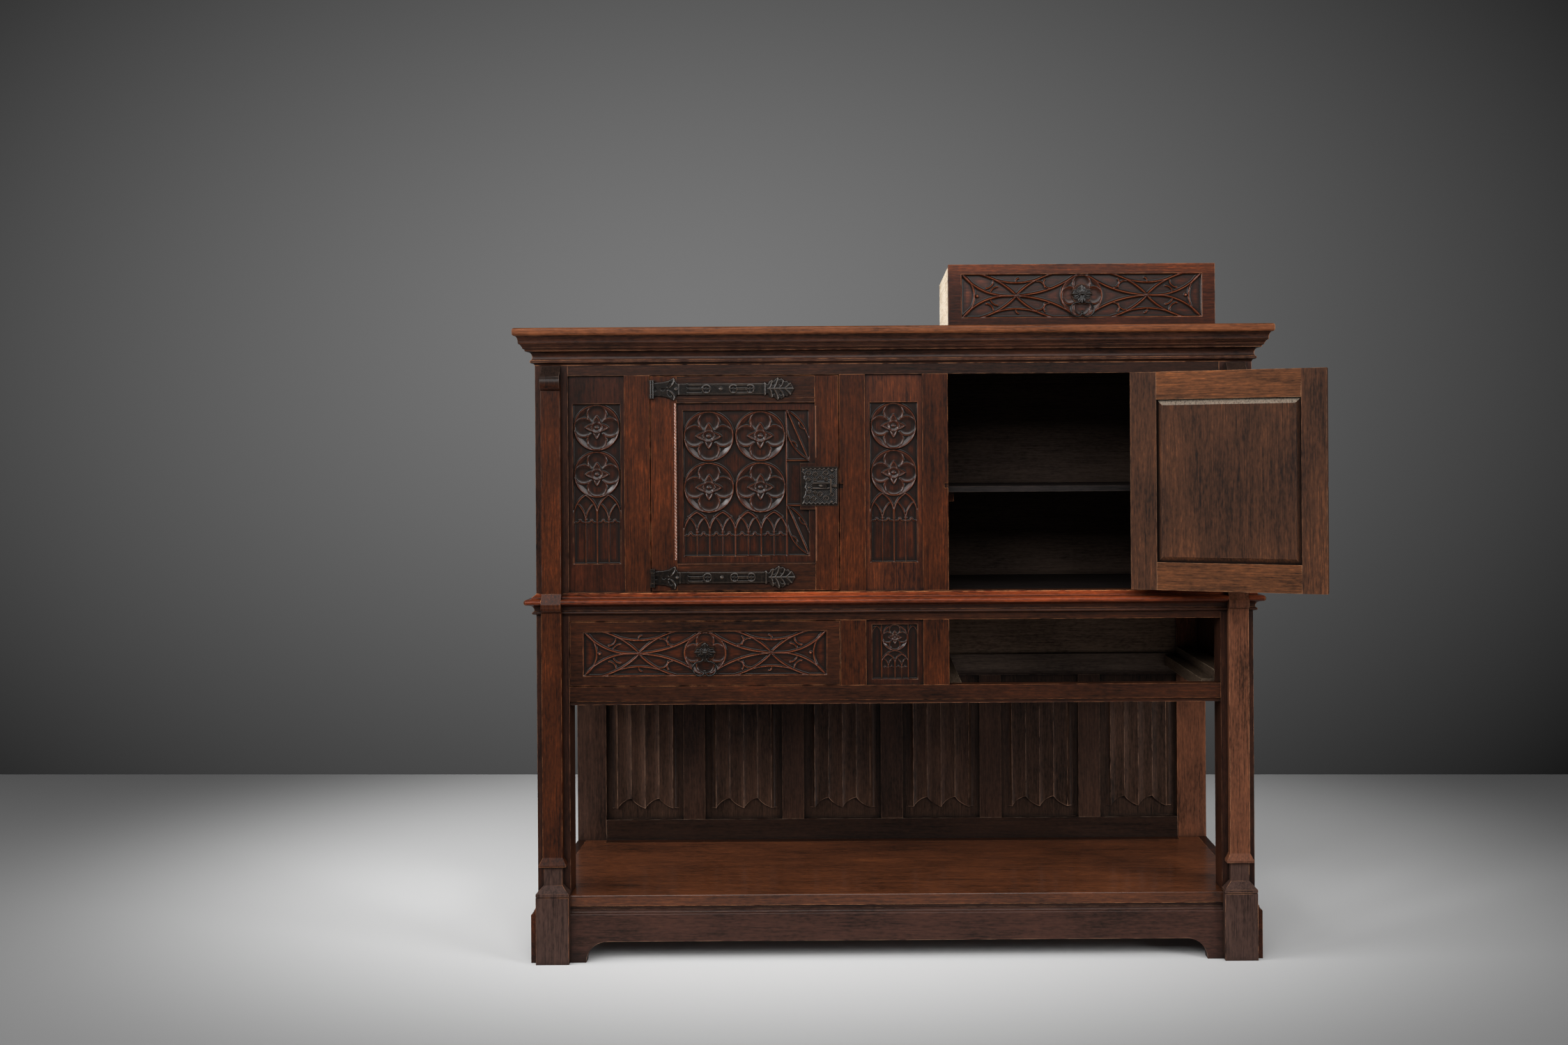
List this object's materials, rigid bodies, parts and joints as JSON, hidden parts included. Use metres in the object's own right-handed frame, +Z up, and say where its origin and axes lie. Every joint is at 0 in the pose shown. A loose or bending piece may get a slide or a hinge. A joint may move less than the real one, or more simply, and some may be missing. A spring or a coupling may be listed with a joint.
{
  "type": "court cupboard",
  "caption": "Carved oak cupboard on an open stand: hinged doors with iron straps and bolts, drawers with drop handles, linenfold back, pot board and plinth.",
  "frame": {"origin": "on the floor, in the middle of the frame's width and depth", "axes": "+X to the right as one faces the doors, +Y from the front to the back, +Z up"},
  "size_m": [1.6788, 0.6791, 1.4822],
  "materials": {
    "frame_oak": "dark red brown oak, waxed, with paler worn edges",
    "carved_oak": "dark carved oak, waxed, darker still in the hollows",
    "inner_oak": "plain brown oak inside the case, without polish",
    "drawer_wood": "pale bare wood of the drawer boxes",
    "wrought_iron": "black forged iron, slightly worn"
  },
  "bodies": {
    "carcass": {"front_post_left": "frame_oak", "rear_post_left": "frame_oak", "front_post_right": "frame_oak", "rear_post_right": "frame_oak", "top_board": "frame_oak", "cornice_moulding": "frame_oak", "waist_moulding": "frame_oak", "upper_buttress_left": "frame_oak", "lower_buttress_left": "frame_oak", "upper_buttress_right": "frame_oak", "lower_buttress_right": "frame_oak", "top_rail_front": "frame_oak", "waist_rail_front": "frame_oak", "lower_rail_front": "frame_oak", "upper_stiles": "frame_oak", "lower_stiles": "frame_oak", "narrow_panel_left": "carved_oak", "narrow_panel_centre": "carved_oak", "narrow_panel_right": "carved_oak", "drawer_row_panel": "carved_oak", "side_rails": "frame_oak", "side_panels": "frame_oak", "back_rails": "inner_oak", "back_panels": "inner_oak", "rear_frame_rails": "frame_oak", "rear_frame_muntins": "frame_oak", "linenfold_panels": "carved_oak", "cupboard_floor": "inner_oak", "partitions": "inner_oak", "shelf_left": "inner_oak", "shelf_right": "inner_oak", "shelf_cleats": "inner_oak", "drawer_runners": "inner_oak", "base_rails": "frame_oak", "pot_board": "frame_oak", "plinth_front": "frame_oak", "plinth_sides": "frame_oak", "hinge_pintles": "wrought_iron"},
    "left_door": {"left_door_stiles": "frame_oak", "left_door_rails": "frame_oak", "left_door_panel": "carved_oak", "left_door_straps": "wrought_iron", "left_lock_plate": "wrought_iron"},
    "left_lock_bolt": {"left_lock_bolt": "wrought_iron"},
    "left_drawer": {"left_drawer_front": "frame_oak", "left_drawer_sides": "drawer_wood", "left_drawer_bottom": "drawer_wood", "left_pull_plate": "wrought_iron"},
    "left_bail": {"left_pull_bail": "wrought_iron"},
    "right_door": {"right_door_stiles": "frame_oak", "right_door_rails": "frame_oak", "right_door_panel": "carved_oak", "right_door_straps": "wrought_iron", "right_lock_plate": "wrought_iron"},
    "right_lock_bolt": {"right_lock_bolt": "wrought_iron"},
    "right_drawer": {"right_drawer_front": "frame_oak", "right_drawer_sides": "drawer_wood", "right_drawer_bottom": "drawer_wood", "right_pull_plate": "wrought_iron"},
    "right_bail": {"right_pull_bail": "wrought_iron"}
  },
  "joints": [
    {"name": "left_door_hinge", "type": "hinge", "parent": "carcass", "child": "left_door", "pos_m": [-0.513, -0.253, 1.0145], "axis": [0, 0, -1], "range_deg": [0, 170]},
    {"name": "right_door_hinge", "type": "hinge", "parent": "carcass", "child": "right_door", "pos_m": [0.513, -0.253, 1.0145], "axis": [0, 0, 1], "range_deg": [-157.5, 12.5]},
    {"name": "left_bolt_slide", "type": "slide", "parent": "left_door", "child": "left_lock_bolt", "axis": [1, 0, 0], "range_m": [0, 0.008]},
    {"name": "right_bolt_slide", "type": "slide", "parent": "right_door", "child": "right_lock_bolt", "axis": [0.9239, -0.3827, 0], "range_m": [0, 0.008]},
    {"name": "left_drawer_slide", "type": "slide", "parent": "carcass", "child": "left_drawer", "axis": [0, -1, 0], "range_m": [0, 0.33]},
    {"name": "right_drawer_lift", "type": "slide", "parent": "carcass", "child": "right_drawer", "axis": [0, 0, 1], "range_m": [0, 0.3]},
    {"name": "left_bail_swing", "type": "hinge", "parent": "left_drawer", "child": "left_bail", "pos_m": [-0.40425, -0.2565, 0.6553], "axis": [-1, 0, 0], "range_deg": [0, 90]},
    {"name": "right_bail_swing", "type": "hinge", "parent": "right_drawer", "child": "right_bail", "pos_m": [0.40825, -0.2135, 1.417], "axis": [-1, 0, 0], "range_deg": [0, 90]}
  ]
}
